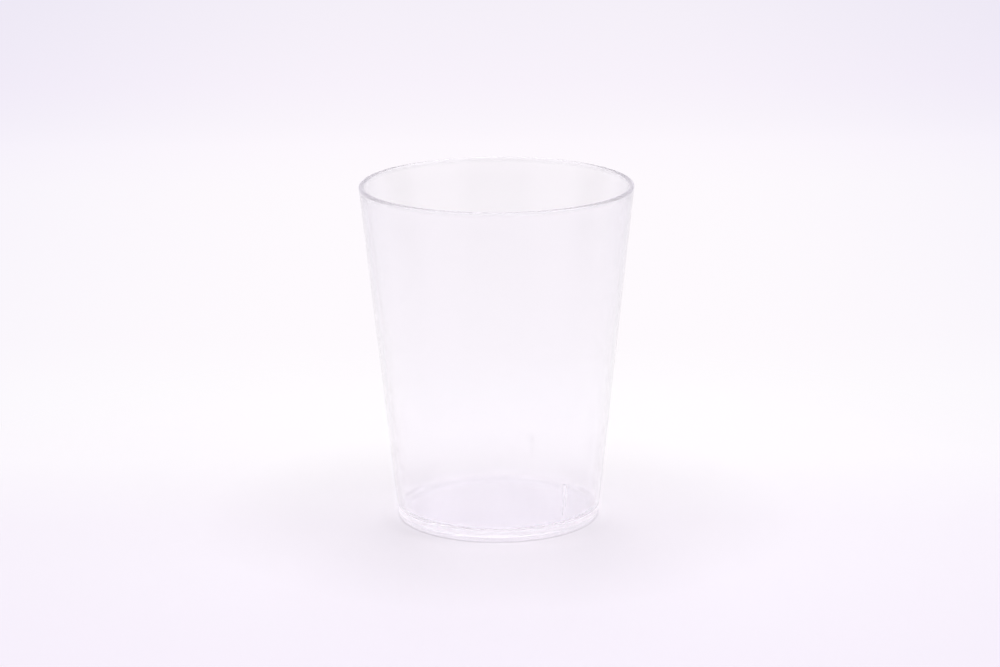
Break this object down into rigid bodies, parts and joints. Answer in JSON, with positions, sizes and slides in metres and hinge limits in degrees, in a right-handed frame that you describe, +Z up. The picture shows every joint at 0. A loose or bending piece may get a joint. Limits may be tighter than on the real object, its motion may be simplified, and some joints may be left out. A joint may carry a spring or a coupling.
{
  "type": "reusable cup",
  "caption": "Tapered clear plastic drinking cup with a full-round rim, a floor raised on a foot ring, and low ribs inside that let cups stack without jamming.",
  "frame": {"origin": "centre of the circle that the cup stands on, at table height", "axes": "+Z up along the cup's axis, -Y towards the front, +X to the right seen from the front"},
  "size_m": [0.085, 0.085, 0.106],
  "materials": {
    "clear_plastic": "clear moulded plastic, very slightly milky, smooth and glossy"
  },
  "bodies": {
    "root": {"cup": "clear_plastic"}
  },
  "joints": []
}
